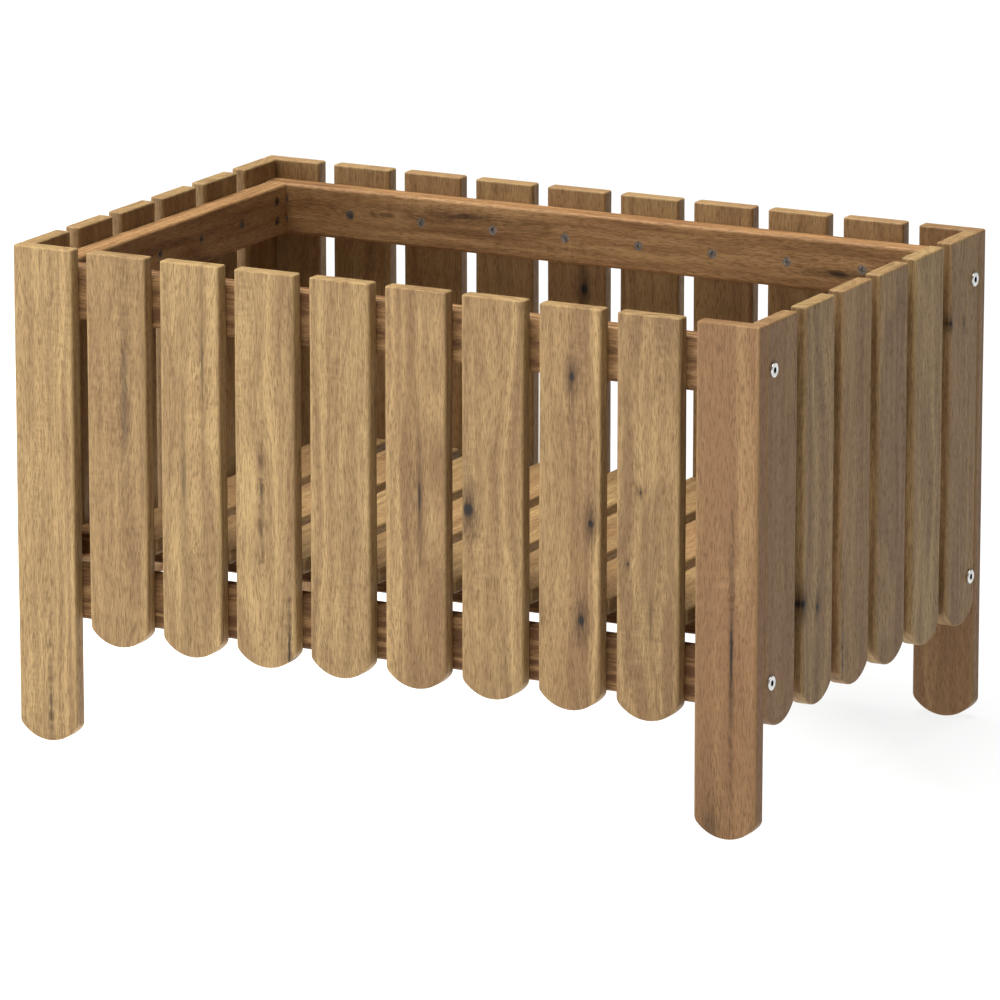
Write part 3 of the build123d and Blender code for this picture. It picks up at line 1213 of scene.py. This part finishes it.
@dataclass(frozen=True)
class Studio:
    """Pale floor, soft lights and a long lens.

    Attributes:
        azimuth, elevation: degrees of the camera from the front towards the right side, and up.
        distance: metres from the target to the camera.
        target: the point that the camera looks at, in metres.
        lens: focal length in millimetres, on a frame 36 mm wide.
        floor_size: metres along a side of the floor.
        table: the floor's two faintly different greys.
        glow_towards: the direction in which the floor glows brighter, east and north.
        glow_reach: metres that way from the middle, where the glow starts and stops growing.
        glow: emission strength at those two places.
        lights: the two soft lights.
        air, air_strength: colour and strength of the light from all round.
    """

    azimuth: float = 27.76
    elevation: float = 13.82
    distance: float = 6.063
    target: tuple[float, float, float] = (-0.0017, 0.0, 0.1936)
    lens: float = 264.25
    floor_size: float = 24.0
    table: tuple[str, str] = ("#5C5C5C", "#585858")
    glow_towards: tuple[float, float] = (-0.72, -0.69)
    glow_reach: tuple[float, float] = (-0.3, 0.7)
    glow: tuple[float, float] = (0.86, 2.2)
    lights: tuple[SoftLight, ...] = (
        SoftLight("key", (-0.5, -0.8, 0.06), 30.0, 1.6, (1.0, 0.985, 0.955)),
        SoftLight("overhead", (-0.15, -0.1, 1.0), 50.0, 5.9, (1.0, 0.99, 0.97)),
    )
    air: tuple[float, float, float] = (0.92, 0.95, 1.0)
    air_strength: float = 0.12

    def build(self) -> None:
        """Make the floor, the lights, the world and the camera."""
        self._floor()
        for light in self.lights:
            light.build()
        world = bpy.data.worlds.new("studio_air")
        world.use_nodes = True
        background = world.node_tree.nodes["Background"]
        background.inputs["Color"].default_value = (*self.air, 1.0)
        background.inputs["Strength"].default_value = self.air_strength
        bpy.context.scene.world = world
        bpy.context.scene.view_settings.view_transform = "Standard"
        self._camera()

    def _floor(self) -> None:
        """Make a pale light table, faintly mottled, whose glow thins the planter's shadow.

        It glows brightest in front and to the left, which lights the planter from low down.
        """
        half = self.floor_size / 2
        corners = [(-half, -half, 0.0), (half, -half, 0.0), (half, half, 0.0), (-half, half, 0.0)]
        mesh = bpy.data.meshes.new("studio_floor")
        mesh.from_pydata(corners, [], [(0, 1, 2, 3)])
        material, tree, shader = new_material("light_table")
        place = add(tree, "TexCoord").outputs["Object"]
        mottle = add(tree, "TexNoise", {"Vector": place, "Scale": 3.0, "Detail": 2.0})
        tint = add(tree, "MixRGB", (mottle, *map(linear, self.table)))
        tree.links.new(tint.outputs[0], shader.inputs["Base Color"])
        shader.inputs["Roughness"].default_value = 1.0
        shader.inputs["Specular IOR Level"].default_value = 0.0
        shader.inputs["Emission Color"].default_value = (1.0, 1.0, 1.0, 1.0)
        ahead = (place, (*self.glow_towards, 0.0))
        ahead = add(tree, "VectorMath", ahead, operation="DOT_PRODUCT").outputs["Value"]
        start, stop = self.glow_reach
        least, most = self.glow
        feed = {"Value": ahead, "From Min": start, "From Max": stop, "To Min": least, "To Max": most}
        glow = add(tree, "MapRange", feed)
        tree.links.new(glow.outputs[0], shader.inputs["Emission Strength"])
        mesh.materials.append(material)
        sheet = bpy.data.objects.new("studio_floor", mesh)
        bpy.context.scene.collection.objects.link(sheet)

    def _camera(self) -> None:
        """Put the camera on its sphere round the target, looking down at it, with no roll or shift."""
        camera = bpy.data.cameras.new("view")
        camera.lens = self.lens
        camera.sensor_width = 36.0
        camera.clip_end = 100.0
        turn, rise = math.radians(self.azimuth), math.radians(self.elevation)
        level = math.cos(rise)
        away = np.array([math.sin(turn) * level, -math.cos(turn) * level, math.sin(rise)])
        holder = bpy.data.objects.new("view", camera)
        holder.location = tuple(np.array(self.target) + self.distance * away)
        holder.rotation_euler = (math.pi / 2 - rise, 0.0, turn)
        bpy.context.scene.collection.objects.link(holder)
        bpy.context.scene.camera = holder


# This planter's wood --------------------------------------------------------------------


BOARD_WOOD = Acacia()
RAIL_WOOD = Acacia(
    name="stained_acacia_rail",
    pale="#B99364",
    middle="#937048",
    dark="#5E4027",
    red="#885A33",
    contrast=1.6,
)
# Tones hold each board's own lightness and also painted light: they fall from left to right, as the
# light does across the front.
FRONT = LongSide(
    side="front",
    tones=(0.16, -0.07, 0.08, 0.28, -0.01, -0.37, -0.1, 0.01, -0.37, -0.79),
    warms=(0.0, 0.1, 0.0, 0.0, 0.0, 0.1, 0.0, 0.1, 0.0, 0.45),
    marks={
        0: (Mark(3, 32, 1.2, 17, 0.5),),
        1: (Mark(8, 300, 3.5, 45, 0.35),),
        2: (Mark(12, 335, 1.1, 26, 0.45), Mark(-6, 238, 1.8, 22, 0.4)),
        3: (Mark(-3, 237, 1.5, 9, 0.5), Mark(-3, 201, 1.2, 6, 0.4), Mark(22, 108, 1.0, 12, 0.8)),
        5: (Mark(4, 248, 1.2, 12, 0.8),),
        6: (Mark(-21, 242, 3.9),),
        7: (Mark(2, 360, 2.5), Mark(19, 243, 2.5), Mark(11, 163, 3.0)),
        8: (Mark(-6, 273, 0.9), Mark(-17, 214, 0.9), Mark(3, 172, 1.5, 16, 0.3)),
        9: (Mark(5, 150, 1.2, 24, 0.9), Mark(-12, 10, 7, 12, 0.3)),
    },
    bands={3: Band(21, 6, -0.25), 5: Band(-21, 7, 0.3), 7: Band(9, 8, -0.25), 9: Band(15, 8, 0.22)},
    seed=10,
)
# Tones are partly the boards' own and partly painted light: they are raised about 0.2 to brighten
# inner faces that lie in shade.
BACK = LongSide(
    side="back",
    tones=(0.35, 0.45, 0.3, 0.35, 0.3, 0.3, 0.15, 0.2, 0.1, -0.7),
    warms=(0.3, 0.2, 0.4, 0.25, 0.35, 0.2, 0.3, 0.25, 0.3, 0.3),
    marks={4: (Mark(8, 331, 3.4),), 7: (Mark(-12, 220, 2.0),)},
    bands={1: Band(12, 9, -0.25), 6: Band(-16, 8, 0.25)},
    seed=30,
)
# Tones are partly the boards' own and partly painted shade: they are lowered a little to darken this
# side under the sheen that falls on it.
RIGHT = ShortSide(
    side="right",
    tones=(-0.33, -0.17, -0.22, -0.17, -0.02, -0.25),
    warms=(0.32, 0.05, 0.27, 0.1, 0.0, 0.15),
    marks={
        1: (Mark(-1, 168, 2.2), Mark(-26, 176, 2.6)),
        2: (Mark(-22, 114, 1.4, 12, 0.6),),
        5: (Mark(-1, 344, 1.2), Mark(-26, 349, 1.4)),
    },
    bands={0: Band(-18, 8, -0.2), 3: Band(14, 8, -0.2)},
    seed=50,
)
LEFT = ShortSide(
    side="left",
    tones=(0.0, 0.1, -0.05, 0.05, 0.1, 0.0),
    warms=(0.1, 0.2, 0.1, 0.15, 0.05, 0.2),
    marks={2: (Mark(9, 300, 2.0),)},
    bands={4: Band(-14, 9, -0.25)},
    seed=60,
)
FLOOR = Floor(
    tones=(-0.05, -0.25, -0.05, -0.1, 0.0, -0.2, -0.05, -0.1),
    warms=(0.3, 0.15, 0.0, 0.2, 0.05, 0.1, 0.3, 0.1),
    seed=70,
)
BACK_RAIL_MARKS = (
    Mark(387, -131, 2.2, 14, 0.5),
    Mark(372, 219, 2.0, 8, 0.8),
    Mark(381, -209, 1.5, 9, 0.35),
)
RAILS = Rails(
    looks={
        "rail_front_upper": RailLook(Grain.X, -0.25, 0.1),
        "rail_back_upper": RailLook(Grain.X, 0.12, 0.3, BACK_RAIL_MARKS),
        "rail_left_upper": RailLook(Grain.Y, 0.3, 0.3),
        "rail_right_upper": RailLook(Grain.Y, 0.0, 0.3),
        "rail_front_lower": RailLook(Grain.X, -0.45, 0.1),
        "rail_back_lower": RailLook(Grain.X, 0.0, 0.2),
        "rail_left_lower": RailLook(Grain.Y, 0.0, 0.2),
        "rail_right_lower": RailLook(Grain.Y, 0.0, 0.2),
    }
)


def main() -> None:
    """Build every sub-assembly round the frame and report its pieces."""
    logging.basicConfig(level=logging.INFO, format="%(name)s: %(message)s")
    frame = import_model()

    boards = BOARD_WOOD.material(Timber())
    pieces = []
    for side in (FRONT, BACK, RIGHT, LEFT):
        pieces += side.build(boards)
    pieces += RAILS.build(frame, RAIL_WOOD)
    pieces += FLOOR.build(frame, boards, RAIL_WOOD)
    pieces += Fasteners().build(frame)
    for piece in pieces:
        mesh = piece.data
        LOG.info("%s: %s, %d points", piece.name, mesh.materials[0].name, len(mesh.vertices))
    Studio().build()
    LOG.info("studio: floor, lights and camera")


if __name__ == "__main__":
    main()
